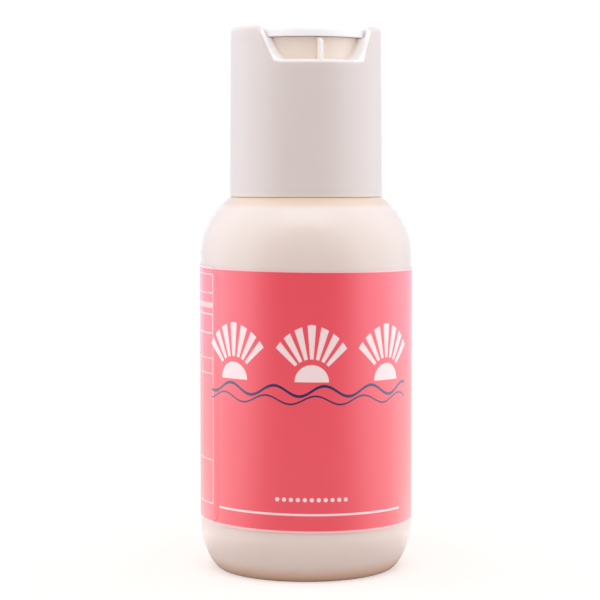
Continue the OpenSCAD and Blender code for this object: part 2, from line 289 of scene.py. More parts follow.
def rounded(corners, steps=4):
    """The outline through (radius, height, round) corners, each turned into an arc of steps + 1 points.

    A round is one size, or a pair for the edges before and after the corner. It shrinks on short edges.
    """
    points = [Vector(corners[0][:2])]
    for before, here, after in zip(corners, corners[1:], corners[2:]):
        at = Vector(here[:2])
        back, ahead = Vector(before[:2]) - at, Vector(after[:2]) - at
        size = here[2] if isinstance(here[2], tuple) else (here[2], here[2])
        from_back = min(size[0], back.length / 2)
        to_ahead = min(size[1], ahead.length / 2)
        back.normalize()
        ahead.normalize()
        for i in range(steps + 1):
            a = math.pi / 2 * i / steps
            backward = back * from_back * (1 - math.sin(a))
            points.append(at + backward + ahead * to_ahead * (1 - math.cos(a)))
    points.append(Vector(corners[-1][:2]))
    return points


def skin(name, rings, loop=False, round_axis=True):
    """A closed piece over rings of points. In a loop each ring closes; round the axis the rings do."""
    count, size = len(rings), len(rings[0])
    faces = []
    for i in range(count if round_axis else count - 1):
        here, beside = i * size, (i + 1) % count * size
        for k in range(size if loop else size - 1):
            above = (k + 1) % size
            faces.append((here + k, here + above, beside + above, beside + k))
    if not round_axis:
        faces.append(tuple(range(size)))
        faces.append(tuple(range((count - 1) * size, count * size)))
    mesh = bpy.data.meshes.new(name)
    mesh.from_pydata([tuple(p) for ring in rings for p in ring], [], faces)
    work = bmesh.new()
    work.from_mesh(mesh)
    bmesh.ops.remove_doubles(work, verts=work.verts, dist=0.0005 * MM)
    bmesh.ops.recalc_face_normals(work, faces=work.faces)
    work.to_mesh(mesh)
    work.free()
    piece = bpy.data.objects.new(name, mesh)
    bpy.context.scene.collection.objects.link(piece)
    return piece


def turned(outline, sides):
    """Sections of an outline turned all the way round the axis."""
    return [[around(p.x, p.y, 2 * math.pi * i / sides) for p in outline] for i in range(sides)]


def bar(name, radius, start, end, sides=64, end_round=0.0):
    """A closed round bar between two points, with its ends rounded."""
    along = end - start
    long = along.length
    outline = rounded([(0, 0), (radius, 0, end_round), (radius, long, end_round), (0, long)])
    tilt = along.to_track_quat("Z", "Y").to_matrix()
    return skin(name, [[start + tilt @ p for p in ring] for ring in turned(outline, sides)])


def settle(piece):
    """Turns the piece's modifiers into plain mesh."""
    graph = bpy.context.evaluated_depsgraph_get()
    mesh = bpy.data.meshes.new_from_object(piece.evaluated_get(graph))
    piece.modifiers.clear()
    piece.data = mesh


def work_in(piece, tool, how):
    """Works the tool into the piece, by UNION, DIFFERENCE or INTERSECT, and drops the tool."""
    step = piece.modifiers.new(how.title(), "BOOLEAN")
    step.operation = how
    step.solver = "EXACT"
    step.object = tool
    settle(piece)
    bpy.data.objects.remove(tool)


def thread(name, sizes, root_radius, crest_radius, start, turns):
    """A helical ridge that stands on the root radius and fades out at both ends."""
    step = math.radians(5)
    steps = round(turns * 2 * math.pi / step)
    depth = crest_radius - root_radius
    buried = math.copysign(OVER, depth)
    slope = math.tan(sizes.flank)
    # Shares of its full depth and crest that are left at the very ends, and the crest's round
    end_depth, end_crest, soft = 0.02, 0.4, 0.2 * MM
    rings = []
    for i in range(steps + 1):
        turn = i * step
        grow = max(end_depth, min(1, turn / sizes.fade, (steps - i) * step / sizes.fade))
        grow = math.sin(grow * math.pi / 2)
        reach = depth * grow
        crest = sizes.crest_width / 2 * (end_crest + (1 - end_crest) * grow)
        foot = crest + (abs(reach) + OVER) * slope
        middle = start + sizes.pitch * turn / (2 * math.pi)
        base, tip = root_radius - buried, root_radius + reach
        section = rounded([(base, -foot), (tip, -crest, soft), (tip, crest, soft), (base, foot)])
        # The thread starts over +X, which is a quarter turn round from the front
        rings.append([around(p.x, middle + p.y, math.pi / 2 + turn) for p in section])
    return skin(name, rings, loop=True, round_axis=False)


def dress(piece, node, slot, *materials):
    """Shades the piece, gives it its materials and lets it stand for its CAD node."""
    for material in materials:
        piece.data.materials.append(material)
    piece.data.shade_smooth()
    piece.data.set_sharp_from_angle(angle=CRISP_ANGLE)
    even = piece.modifiers.new("Even shading", "WEIGHTED_NORMAL")
    even.keep_sharp = True
    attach(piece, frame["nodes"][node]["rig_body"])
    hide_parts(node)
    return piece


def add(tree, kind, inputs=None, **settings):
    """Adds a node with its settings. An input takes a value, a socket, or a node, for its first output."""
    node = tree.nodes.new(kind)
    for name, value in settings.items():
        setattr(node, name, value)
    for name, value in (inputs or {}).items():
        if isinstance(value, bpy.types.Node):
            value = value.outputs[0]
        if isinstance(value, bpy.types.NodeSocket):
            tree.links.new(value, node.inputs[name])
        else:
            node.inputs[name].default_value = value
    return node


def chain(tree, kind, value, *steps):
    """Passes a value through nodes of one kind, each given as (operation, other inputs)."""
    for operation, *others in steps:
        value = add(tree, kind, dict(enumerate((value, *others))), operation=operation)
    return value


def new_material(name):
    """An empty node material: the material, its tree and its place in the object's own metres."""
    material = bpy.data.materials.new(name)
    material.use_nodes = True
    material.node_tree.nodes.clear()
    place = add(material.node_tree, "ShaderNodeTexCoord").outputs["Object"]
    return material, material.node_tree, place


def surfaced(material, inputs):
    """The material with its surface made from these inputs."""
    shader = add(material.node_tree, "ShaderNodeBsdfPrincipled", inputs)
    add(material.node_tree, "ShaderNodeOutputMaterial", {"Surface": shader})
    return material


def relief(tree, place, waves):
    """Bump made of (width, height, detail) noises, finest last, each from its real size in metres."""
    normal = None
    for width, height, detail in waves:
        noise = add(tree, "ShaderNodeTexNoise", {"Vector": place, "Scale": 1 / width, "Detail": detail})
        inputs = {"Height": noise, "Distance": height, "Strength": 1.0}
        if normal:
            inputs["Normal"] = normal
        normal = add(tree, "ShaderNodeBump", inputs)
    return normal


def deeper(tint, factors):
    """The tint with each of its channels turned down by a factor."""
    return (*(channel * factor for channel, factor in zip(tint, factors)), 1)


def layered(tree, base, layers):
    """The base colour with each (share, colour) laid over it in turn."""
    for share, over in layers:
        base = add(tree, "ShaderNodeMix", {0: share, 6: base, 7: over}, data_type="RGBA").outputs[2]
    return base


def clouded(tree, place, tint, width, detail, factors):
    """The tint, drifting to a deeper one in clouds of about that width."""
    cloud = add(tree, "ShaderNodeTexNoise", {"Vector": place, "Scale": 1 / width, "Detail": detail})
    return layered(tree, (*tint, 1), [(cloud, deeper(tint, factors))])


def patchy_gloss(tree, place, width, detail, least, most):
    """A roughness that drifts from least to most over patches of about that width."""
    haze = add(tree, "ShaderNodeTexNoise", {"Vector": place, "Scale": 1 / width, "Detail": detail})
    span = {"Value": haze, "From Min": 0.3, "From Max": 0.7, "To Min": least, "To Max": most}
    return add(tree, "ShaderNodeMapRange", span)


def blown_hdpe(tint):
    """Natural white HDPE, blow moulded.

    Milky and slightly translucent, satin, with the shallow waves and orange peel of a blown skin.
    """
    material, tree, place = new_material("Blow-moulded HDPE")
    height = add(tree, "ShaderNodeSeparateXYZ", {0: place}).outputs["Z"]
    # Painted shade and painted warm light: the foot by the floor and the neck under the closure are
    # painted darker and warmer: from where, to where it is full, and how deep
    painted_shade_zones = (
        (2.7 * MM, 0.4 * MM, (0.91, 0.72, 0.58)),
        (53.8 * MM, 54.7 * MM, (0.92, 0.82, 0.69)),
    )
    layers = []
    for start, full, factors in painted_shade_zones:
        span = {"Value": height, "From Min": start, "From Max": full}
        shade_mask = add(tree, "ShaderNodeMapRange", span, interpolation_type="SMOOTHSTEP")
        layers.append((shade_mask, deeper(tint, factors)))
    resin = clouded(tree, place, tint, 9 * MM, 2.0, (0.975, 0.955, 0.935))
    return surfaced(
        material,
        {
            "Base Color": layered(tree, resin, layers),
            "Roughness": patchy_gloss(tree, place, 8 * MM, 1.0, 0.13, 0.16),
            "IOR": 1.54,
            "Subsurface Weight": 0.35,
            "Subsurface Radius": (1.0, 0.75, 0.6),
            "Subsurface Scale": 2.0 * MM,
            "Normal": relief(tree, place, [(9 * MM, 0.012 * MM, 0.0), (1.2 * MM, 0.0015 * MM, 1.0)]),
        },
    )


def opening_light_mask(tree, place, sizes):
    """Where the opening's painted light goes: 1 on the walls and the lip of the closure's opening, fading
    to 0 just outside it.
    """
    direction = (sizes.floor_angle + sizes.rim_angle) / 2
    half = sizes.top_radius * math.sin(sizes.rim_angle - direction)
    rise = (sizes.rim_height - sizes.floor_height) / (2 * half)
    slant = (rise * math.cos(direction), rise * math.sin(direction), 0.0)
    axes = add(tree, "ShaderNodeSeparateXYZ", {0: place}).outputs
    sideways = chain(tree, MATHS, axes["X"], ("ABSOLUTE",))
    across = add(tree, "ShaderNodeCombineXYZ", {"X": sideways, "Y": axes["Y"]})
    climb = chain(tree, VECTORS, across, ("DOT_PRODUCT", slant)).outputs["Value"]
    floor = sizes.floor_height
    cheek = chain(tree, MATHS, climb, ("ADD", floor + rise * half), ("MAXIMUM", floor))
    over = chain(tree, MATHS, axes["Z"], ("SUBTRACT", cheek))
    span = {"Value": over, "From Min": -0.4 * MM, "From Max": 0.0}
    return add(tree, "ShaderNodeMapRange", span, interpolation_type="SMOOTHSTEP")


def disc_painted_light(tree, radius, sizes):
    """Painted light: the disc's thin edge is painted brighter, for the light that it lets through."""
    span = {"Value": radius, "From Min": sizes.radius - 0.9 * MM, "From Max": sizes.radius - 0.3 * MM}
    return [(add(tree, "ShaderNodeMapRange", span), (*sizes.edge, 1))]


def closure_painted_light(tree, place, radius, sizes):
    """Painted light: the walls and lip of the closure's opening and the foot of its skirt are painted
    brighter and warmer, for the light that they let through and that bounces onto them.
    """
    # Painted light: the opening's lip is painted brighter than the walls further in
    span = {"Value": radius, "From Min": 8.75 * MM, "From Max": 9.4 * MM}
    outward = add(tree, "ShaderNodeMapRange", span)
    wall = layered(tree, (*sizes.depth, 1), [(outward, (*sizes.glow, 1))])
    # Painted light: the skirt's foot is painted warmer, for light bouncing up from the shoulder
    height = add(tree, "ShaderNodeSeparateXYZ", {0: place}).outputs["Z"]
    span = {"Value": height, "From Min": sizes.foot_height + 0.8 * MM, "From Max": sizes.foot_height}
    foot = add(tree, "ShaderNodeMapRange", span, interpolation_type="SMOOTHSTEP")
    return [(opening_light_mask(tree, place, sizes), wall), (foot, (*sizes.foot, 1))]


def moulded_pp(name, tint, closure=None, disc=None):
    """White polypropylene, injection moulded.

    Milky, with a soft shine over a very fine tool texture, and painted brighter where it is thin.
    """
    material, tree, place = new_material(name)
    resin = clouded(tree, place, tint, 6 * MM, 2.0, (0.985, 0.975, 0.97))
    level = chain(tree, VECTORS, place, ("MULTIPLY", (1, 1, 0)), ("LENGTH",))
    radius = level.outputs["Value"]
    painted_light = []
    if disc:
        painted_light = disc_painted_light(tree, radius, disc)
    if closure:
        painted_light = closure_painted_light(tree, place, radius, closure)
    return surfaced(
        material,
        {
            "Base Color": layered(tree, resin, painted_light),
            "Roughness": patchy_gloss(tree, place, 3 * MM, 2.0, 0.285, 0.31),
            "IOR": 1.55,
            "Subsurface Weight": 0.6,
            "Subsurface Radius": (1.0, 0.9, 0.85),
            "Subsurface Scale": 1.3 * MM,
            "Normal": relief(tree, place, [(5 * MM, 0.003 * MM, 1.0), (0.3 * MM, 0.0002 * MM, 1.0)]),
        },
    )


def foamed_polyethylene():
    """Expanded polyethylene sheet, die cut: matt white, with fine closed cells that show as pits."""
    material, tree, place = new_material("Expanded polyethylene foam")
    cells = add(tree, "ShaderNodeTexVoronoi", {"Vector": place, "Scale": 1 / (0.18 * MM)})
    shade = layered(tree, (*linear("F8F5EF"), 1), [(cells, (*linear("E6E1D8"), 1))])
    pits = add(tree, "ShaderNodeBump", {"Height": cells, "Distance": 0.03 * MM, "Strength": 1.0})
    return surfaced(material, {"Base Color": shade, "Roughness": 0.85, "IOR": 1.5, "Normal": pits})


# The print is laid out in mm: across from the middle of the front or of the back, and up.
# Half of the blur at the edge of a printed form
INK_EDGE = 0.05
# Boxes are (left, right, low, high), and a line is its thickness, with 0 for a filled box
FANS_FIELD = (-18.3, 18.3, 28.8, 38.0)
WAVES_FIELD = (-17.2, 17.2, 25.0, 30.0)
DOTS_FIELD = (-5.5, 5.5, 11.5, 13.3)
FRONT_BOXES = (((-15.5, 15.5, 10.1, 10.4), 0),)
SIDE_BOXES = (
    ((-17.0, -16.85, 12.0, 44.0), 0),
    ((-23.5, -16.9, 41.3, 44.2), 0.18),
    ((-23.5, -16.9, 39.2, 40.0), 0),
    ((-23.5, -16.9, 35.4, 38.4), 0.25),
    ((-23.5, -16.9, 29.5, 31.9), 0.18),
    ((-23.5, -16.9, 10.4, 17.0), 0.18),
)
BACK_BOXES = (
    ((-21.0, 21.0, 10.4, 43.0), 0.15),
    ((-19.0, 19.0, 12.4, 24.0), 0.15),
    ((-15.0, 15.0, 39.2, 39.7), 0),
    ((-19.0, 19.0, 26.0, 26.15), 0),
)


def below(tree, value, limit):
    """1 where the value is under the limit and 0 where it is over, with an ink edge."""
    span = {"From Min": limit - INK_EDGE, "From Max": limit + INK_EDGE, "To Min": 1.0, "To Max": 0.0}
    return add(tree, "ShaderNodeMapRange", {"Value": value, **span})


def folded(tree, value, pitch, cells=1000):
    """The value from the middle of its own cell, in cells one pitch wide.

    It is first moved up by that many cells, because the remainder needs a value above 0.
    """
    shift = ("ADD", (cells + 0.5) * pitch)
    return chain(tree, MATHS, value, shift, ("MODULO", pitch), ("SUBTRACT", pitch / 2))


def from_centre(tree, across, up):
    """How far a place is from the point where both are 0."""
    place = add(tree, "ShaderNodeCombineXYZ", {"X": across, "Y": up})
    return chain(tree, VECTORS, place, ("LENGTH",)).outputs["Value"]


def printed_box(tree, across, up, box):
    """A filled box."""
    left, right, low, high = box
    wide = chain(tree, MATHS, across, ("SUBTRACT", (left + right) / 2), ("ABSOLUTE",))
    tall = chain(tree, MATHS, up, ("SUBTRACT", (low + high) / 2), ("ABSOLUTE",))
    within = below(tree, tall, (high - low) / 2)
    return chain(tree, MATHS, below(tree, wide, (right - left) / 2), ("MULTIPLY", within))


def printed_boxes(tree, across, up, boxes):
    """All of the boxes, each outlined by its line or filled."""
    joined = 0.0
    for (left, right, low, high), line in boxes:
        mask = printed_box(tree, across, up, (left, right, low, high))
        if line:
            hole = (left + line, right - line, low + line, high - line)
            mask = chain(tree, MATHS, mask, ("SUBTRACT", printed_box(tree, across, up, hole)))
        joined = chain(tree, MATHS, joined, ("MAXIMUM", mask))
    return joined


def fans(tree, across, up, low, pitch, reach):
    """A row of open fans of rays over half discs, standing on a line at height low."""
    opening, rays = math.radians(50), 7
    ray = 2 * opening / rays
    # Half of a ray's width as a share of its cell, and the ends of the disc and of the gap round it
    half_ray, disc_end, gap_end = 0.3, 0.3 * reach, 0.4 * reach
    # The rays get shorter by this much a radian to either side
    taper = 1.4
    cell = folded(tree, across, pitch)
    rise = chain(tree, MATHS, up, ("SUBTRACT", low))
    radius = from_centre(tree, cell, rise)
    lean = chain(tree, MATHS, cell, ("ARCTAN2", rise))
    lean_size = chain(tree, MATHS, lean, ("ABSOLUTE",))
    off = chain(tree, MATHS, folded(tree, lean, ray, 10), ("ABSOLUTE",), ("MULTIPLY", radius))
    width = chain(tree, MATHS, radius, ("MULTIPLY", ray * half_ray))
    thin = chain(tree, MATHS, off, ("SUBTRACT", width))
    out = chain(tree, MATHS, lean_size, ("MULTIPLY", taper), ("ADD", radius))
    spread = chain(tree, MATHS, lean_size, ("SUBTRACT", opening), ("MULTIPLY", reach))
    outside = chain(tree, MATHS, 1.0, ("SUBTRACT", below(tree, radius, gap_end)))
    fan = chain(
        tree,
        MATHS,
        below(tree, thin, 0.0),
        ("MULTIPLY", below(tree, out, reach)),
        ("MULTIPLY", outside),
        ("MULTIPLY", below(tree, spread, 0.0)),
    )
    above = below(tree, chain(tree, MATHS, rise, ("MULTIPLY", -1.0)), 0.0)
    disc = chain(tree, MATHS, below(tree, radius, disc_end), ("MULTIPLY", above))
    return chain(tree, MATHS, fan, ("MAXIMUM", disc))


def wave(tree, across, up, middle, swing, pitch, line, shift):
    """A wavy stroke round the label."""
    turn = ("MULTIPLY", 2 * math.pi / pitch)
    crest = chain(tree, MATHS, across, turn, ("ADD", shift), ("SINE",), ("MULTIPLY", swing))
    off = chain(tree, MATHS, up, ("SUBTRACT", crest), ("SUBTRACT", middle), ("ABSOLUTE",))
    return below(tree, off, line / 2)


def label_places(tree, place, sizes):
    """Places on the label: across from the middle of the front, across from the back's, and up."""
    # Heights are taken square to the film's own edges, which lean a little
    side = sizes.lean_side
    upright = (sizes.lean * math.cos(side), sizes.lean * math.sin(side), 1.0)
    height = chain(tree, VECTORS, place, ("DOT_PRODUCT", upright)).outputs["Value"]
    up = chain(tree, MATHS, height, ("MULTIPLY", 1 / MM))
    axes = add(tree, "ShaderNodeSeparateXYZ", {0: place}).outputs
    ahead = chain(tree, MATHS, axes["Y"], ("MULTIPLY", -1.0))
    aside = chain(tree, MATHS, axes["X"], ("MULTIPLY", -1.0))
    to_mm = ("MULTIPLY", (sizes.radius + sizes.thickness) / MM)
    middle = ("SUBTRACT", sizes.print_middle)
    front = chain(tree, MATHS, axes["X"], ("ARCTAN2", ahead), middle, to_mm)
    back = chain(tree, MATHS, aside, ("ARCTAN2", axes["Y"]), to_mm)
    return front, back, up


def pale_print(tree, front, back, up):
    """The pale ink: fans, a dotted row over a rule and empty boxes, and a painted highlight along both
    edges.
    """
    row = fans(tree, front, up, 29.3, 12.2, 8.2)
    row = chain(tree, MATHS, row, ("MULTIPLY", printed_box(tree, front, up, FANS_FIELD)))
    dot_radius, dot_pitch, dots_height = 0.3, 1.0, 12.4
    dots_up = chain(tree, MATHS, up, ("SUBTRACT", dots_height))
    dots = below(tree, from_centre(tree, folded(tree, front, dot_pitch), dots_up), dot_radius)
    dots = chain(tree, MATHS, dots, ("MULTIPLY", printed_box(tree, front, up, DOTS_FIELD)))
    # The lines at the side are a half-tone of the ink
    half_tone = 0.6
    side = printed_boxes(tree, front, up, SIDE_BOXES)
    side = chain(tree, MATHS, side, ("MULTIPLY", half_tone))
    # Painted highlight: a pale band along both edges, where the film's edges catch the light, begins this
    # far from the label's middle height and rises to a half-tone too
    label_middle, highlight_from, highlight_rise, highlight_tone = 26.4, 18.45, 6.0, 0.7
    edge_highlight = chain(
        tree,
        MATHS,
        up,
        ("SUBTRACT", label_middle),
        ("ABSOLUTE",),
        ("SUBTRACT", highlight_from),
        ("MULTIPLY", highlight_rise),
        ("MAXIMUM", 0.0),
        ("MINIMUM", highlight_tone),
    )
    rule = printed_boxes(tree, front, up, FRONT_BOXES)
    boxes = printed_boxes(tree, back, up, BACK_BOXES)
    return chain(tree, MATHS, row, *(("MAXIMUM", mask) for mask in (dots, rule, side, boxes, edge_highlight)))


def navy_print(tree, front, up):
    """The navy ink: a broad and a fine wave under the fans."""
    broad = wave(tree, front, up, middle=28.0, swing=0.75, pitch=7.3, line=0.42, shift=0.0)
    fine = wave(tree, front, up, middle=26.7, swing=0.6, pitch=7.3, line=0.26, shift=1.1)
    field = printed_box(tree, front, up, WAVES_FIELD)
    return chain(tree, MATHS, broad, ("MAXIMUM", fine), ("MULTIPLY", field))


def printed_film(sizes):
    """White polypropylene film, printed in coral, pale pink and navy under a satin varnish.

    The inks are flat and strong, and the varnish whitens them towards the sides.
    """
    material, tree, place = new_material("Printed polypropylene film")
    front, back, up = label_places(tree, place, sizes)
    ground = clouded(tree, place, sizes.ground, 4 * MM, 3.0, (0.985, 0.94, 0.94))
    inks = [
        (pale_print(tree, front, back, up), (*sizes.light, 1)),
        (navy_print(tree, front, up), (*sizes.dark, 1)),
    ]
    return surfaced(
        material,
        {
            "Base Color": layered(tree, ground, inks),
            "Roughness": 0.27,
            "IOR": 1.5,
            "Coat Weight": 0.85,
            "Coat Roughness": 0.27,
            "Coat IOR": 1.5,
            "Normal": relief(tree, place, [(6 * MM, 0.01 * MM, 1.0), (0.5 * MM, 0.0015 * MM, 2.0)]),
        },
    )


def cut_film(sizes):
    """White polypropylene film where it was slit: the bare, matt core that shows as a pale edge."""
    material, tree, place = new_material("Slit polypropylene film")
    core = clouded(tree, place, sizes.film, 0.1 * MM, 2.0, (0.94, 0.94, 0.94))
    return surfaced(material, {"Base Color": core, "Roughness": 0.6, "IOR": 1.49})


def heel(sizes, inset, base):
    """The heel curve, inset from the outside and rising from the height base."""
    foot, side = sizes.body_radius - sizes.heel_width, sizes.body_radius - inset
    points = []
    steps = 24
    for i in range(steps + 1):
        u = 1 - math.cos(math.pi / 2 * i / steps)
        out = (1 - (1 - u) ** sizes.heel_power) ** (1 / sizes.heel_power)
        points.append(Vector((foot + (side - foot) * out, base + (sizes.heel_height - base) * u)))
    return points


def hollow_height(sizes, share):
    """Height of the push-up at that share of the way from the axis to the foot ring."""
    return sizes.push_up * (1 + math.cos(math.pi * share)) / 2


def dome(sizes, lift):
    """The push-up from the axis to the foot ring, lifted by the wall on the inside."""
    edge = sizes.body_radius - sizes.heel_width - sizes.foot_ring
    steps = [i / 20 for i in range(21)]
    return [Vector((edge * u, lift + hollow_height(sizes, u))) for u in steps]


def shoulder(sizes, inset):
    """The shoulder's arc, from the body up to the land, inset from the outside."""
    radius, centre = sizes.shoulder_radius - inset, sizes.body_radius - sizes.shoulder_radius
    top = math.asin((sizes.land_height - inset - sizes.body_top) / radius)
    turns = [top * i / 28 for i in range(29)]
    low = sizes.body_top
    return [Vector((centre + radius * math.cos(a), low + radius * math.sin(a))) for a in turns]


def pinch_off(sizes):
    """The weld line that the mould pinches shut across the hollow of the base."""
    half, steps = 7 * MM, 28
    stands_out, end_height = 0.22 * MM, 0.02 * MM
    root, crest, soft = 0.45 * MM, 0.22 * MM, 0.12 * MM
    edge = sizes.body_radius - sizes.heel_width - sizes.foot_ring
    rings = []
    for i in range(steps + 1):
        x = half * (2 * i / steps - 1)
        hollow = hollow_height(sizes, abs(x) / edge)
        fade = math.sqrt(max(0.0, 1 - (x / half) ** 4))
        low, high = hollow - stands_out * fade - end_height, hollow + OVER
        section = rounded([(-root, high), (-crest, low, soft), (crest, low, soft), (root, high)])
        rings.append([Vector((x, p.x, p.y)) for p in section])
    return skin("pinch_off", rings, loop=True, round_axis=False)


class OBJECT_OT_bottle(bpy.types.Operator):
    """Build the blow-moulded bottle with its threaded neck"""

    bl_idname = "object.sunscreen_bottle"
    bl_label = "Bottle"

    def execute(self, context):
        sizes, threads = context.scene.bottle_sizes, context.scene.thread_sizes
        wall, lip, row = sizes.wall, 0.3 * MM, 4 * MM
        outside, inside = shoulder(sizes, 0), shoulder(sizes, wall)
        neck = rounded(
            [
                (outside[-1].x, sizes.land_height),
                (sizes.neck_radius, sizes.land_height, 0.5 * MM),
                (sizes.neck_radius, sizes.lip_height, lip),
                (sizes.bore_radius, sizes.lip_height, lip),
                (sizes.bore_radius, sizes.land_height - wall, 0.4 * MM),
                (inside[-1].x, sizes.land_height - wall),
            ]
        )
        outline = (
            dome(sizes, 0)
            + heel(sizes, 0, 0)
            + [Vector((sizes.body_radius, sizes.heel_height + i * row)) for i in range(1, 10)]
            + outside
            + neck[1:-1]
            + inside[::-1]
            + heel(sizes, wall, wall)[::-1]
            + dome(sizes, wall)[::-1]
        )
        piece = skin("bottle_body", turned(outline, 192))
        root, crest = sizes.neck_radius, threads.neck_crest
        ridge = thread("neck_thread", threads, root, crest, threads.neck_start, threads.neck_turns)
        work_in(piece, ridge, "UNION")
        work_in(piece, pinch_off(sizes), "UNION")
        dress(piece, "bottle", "bottle_plastic", blown_hdpe(sizes.tint))
        return {"FINISHED"}


def label_rings(sizes):
    """Sections along the film, from its hidden start all the way round to its visible end."""
    wrap = 2 * math.pi * sizes.radius
    total = wrap + sizes.overlap
    # Lengths over which the film climbs onto its start and over which its end is pressed flat
    lead, pressed_length = 1.5 * MM, 1.2 * MM
    # As shares of its thickness: its height over its start, and what is pressed out of its end
    climb_height, press = 1.02, 0.95
    stations = [wrap * i / 240 for i in range(240)]
    stations += [wrap + (sizes.overlap - sizes.corner) * i / 8 for i in range(8)]
    stations += [total - sizes.corner * (1 - math.sin(math.pi / 2 * i / 12)) for i in range(13)]
    rings = []
    for s in stations:
        turn = sizes.seam + (s - total) / sizes.radius
        climb = min(1, max(0, (s - wrap + lead) / lead))
        inner = sizes.radius + climb_height * sizes.thickness * climb * climb * (3 - 2 * climb)
        pressed = press * min(1, max(0, (s - total + pressed_length) / pressed_length))
        outer = inner + sizes.thickness * (1 - pressed)
        left = max(0, s - (total - sizes.corner))
        cut = sizes.corner - math.sqrt(max(0, sizes.corner**2 - left**2))
        shift = sizes.skew * (s / total - 0.5)
        shift -= sizes.lean * outer * math.sin(turn - sizes.lean_side)
        low, high = sizes.low + shift + cut, sizes.high + shift - cut
        section = [(inner, low), (inner, high), (outer, high), (outer, low)]
        rings.append([around(r, z, turn) for r, z in section])
    return rings


class OBJECT_OT_label(bpy.types.Operator):
    """Wrap the printed film round the bottle"""

    bl_idname = "object.sunscreen_label"
    bl_label = "Label"

    def execute(self, context):
        sizes = context.scene.label_sizes
        piece = skin("wrap_label", label_rings(sizes), loop=True, round_axis=False)
        dress(piece, "label", "label_film", printed_film(sizes), cut_film(sizes))
        for face in piece.data.polygons:
            outward = Vector((face.center.x, face.center.y, 0)).normalized()
            printed = face.normal.dot(outward) > 0.5 or abs(face.normal.z) < 0.3
            face.material_index = 0 if printed else 1
        return {"FINISHED"}


class OBJECT_OT_liner(bpy.types.Operator):
    """Cut the foam sealing ring that sits under the closure's deck"""

    bl_idname = "object.sunscreen_liner"
    bl_label = "Liner"

    def execute(self, context):
        low, high, outer = LINER_BOX[0].z, LINER_BOX[1].z, LINER_BOX[1].x
        hole, soft = 4.5 * MM, 0.12 * MM
        start = ((hole + outer) / 2, low)
        corners = [(outer, low), (outer, high), (hole, high), (hole, low)]
        outline = rounded([start, *((*corner, soft) for corner in corners), start])
        piece = skin("sealing_ring", turned(outline[:-1], 128), loop=True)
        dress(piece, "liner", "liner_foam", foamed_polyethylene())
        return {"FINISHED"}


def smooth_larger(a, b, blend):
    """The larger of two values, with a smooth change from one to the other."""
    near = max(blend - abs(a - b), 0) / blend
    return max(a, b) + near * near * blend / 4


def opening_height(sizes, radius, turn):
    """Height of the recess's floor, of its slanted cheek, or of the rim, at that place."""
    direction = (sizes.floor_angle + sizes.rim_angle) / 2
    start = sizes.top_radius * math.sin(sizes.floor_angle - direction)
    end = sizes.top_radius * math.sin(sizes.rim_angle - direction)
    rise = (sizes.rim_height - sizes.floor_height) / (end - start)
    cheek = sizes.floor_height + rise * (radius * math.sin(abs(turn) - direction) - start)
    low = smooth_larger(sizes.floor_height, cheek, sizes.floor_blend)
    return -smooth_larger(-low, -sizes.rim_height, sizes.cheek_blend)


def closure_outline(sizes, turn):
    """The closure's section at one angle, from the deck's underside round to the deck's top."""
    in_block = abs(turn) < sizes.block_angle
    back = sizes.back_radius if in_block else sizes.well_radius
    inner = sizes.inner_radius if in_block else sizes.well_radius
    lip = opening_height(sizes, sizes.top_radius, turn)
    wall_top = sizes.rim_height - sizes.rim_round
    draft = (sizes.foot_radius - sizes.top_radius) / (wall_top - sizes.foot_height)
    lip_radius = sizes.top_radius + draft * max(0, wall_top - lip)
    nudge = 0.2 * MM
    ahead = opening_height(sizes, sizes.top_radius, abs(turn) + nudge / sizes.top_radius)
    steepness = math.hypot(1, (ahead - lip) / nudge)
    share = (lip - sizes.floor_height) / (sizes.rim_height - sizes.floor_height)
    edge = sizes.cheek_round + (sizes.rim_round - sizes.cheek_round) * share
    well_lip = opening_height(sizes, sizes.well_radius, turn)
    back_low = min(opening_height(sizes, back, turn), sizes.block_high)
    bead = 0.35 * MM
    liner_low = LINER_BOX[0].z - 0.05 * MM
    return rounded(
        [
            (0, sizes.deck_low),
            (sizes.inside_radius, sizes.deck_low, 0.15 * MM),
            (sizes.inside_radius, liner_low, 0.05 * MM),
            (sizes.inside_radius - bead, liner_low - 0.2 * MM, 0.1 * MM),
            (sizes.inside_radius, liner_low - 0.4 * MM, 0.1 * MM),
            (sizes.inside_radius, sizes.foot_height + OVER, 0.15 * MM),
            (sizes.inside_radius + OVER, sizes.foot_height, 0.1 * MM),
            (sizes.foot_radius, sizes.foot_height, 0.08 * MM),
            (lip_radius, lip, (edge * steepness, edge)),
            (sizes.well_radius, well_lip, 0.15 * MM if well_lip > sizes.block_high + 0.1 * MM else 0),
            (sizes.well_radius, min(well_lip, sizes.block_high), 0),
            (back, back_low, 0.4 * MM),
            (back, sizes.block_high, 0.05 * MM),
            (inner, sizes.block_high, 0.05 * MM),
            (inner, sizes.block_low, 0.3 * MM),
            (sizes.well_radius, sizes.block_low, 0.3 * MM if in_block else 0),
            (sizes.well_radius, sizes.deck_high, 0.4 * MM),
            (0, sizes.deck_high),
        ]
    )


def closure_turns(sizes):
    """Angles of the closure's sections: close together over the cheeks, wider at the back."""
    sliver = math.radians(0.03)
    turns = {sizes.block_angle - sliver, sizes.block_angle + sliver}
    for first, last, step in ((0, 34, 1), (34.5, 56.5, 0.5), (58, 60, 1), (62.5, 180, 2.5)):
        count = round((last - first) / step)
        turns |= {math.radians(first + step * i) for i in range(count + 1)}
    turns |= {-turn for turn in turns if 0 < turn < math.radians(179)}
    return sorted(turns)


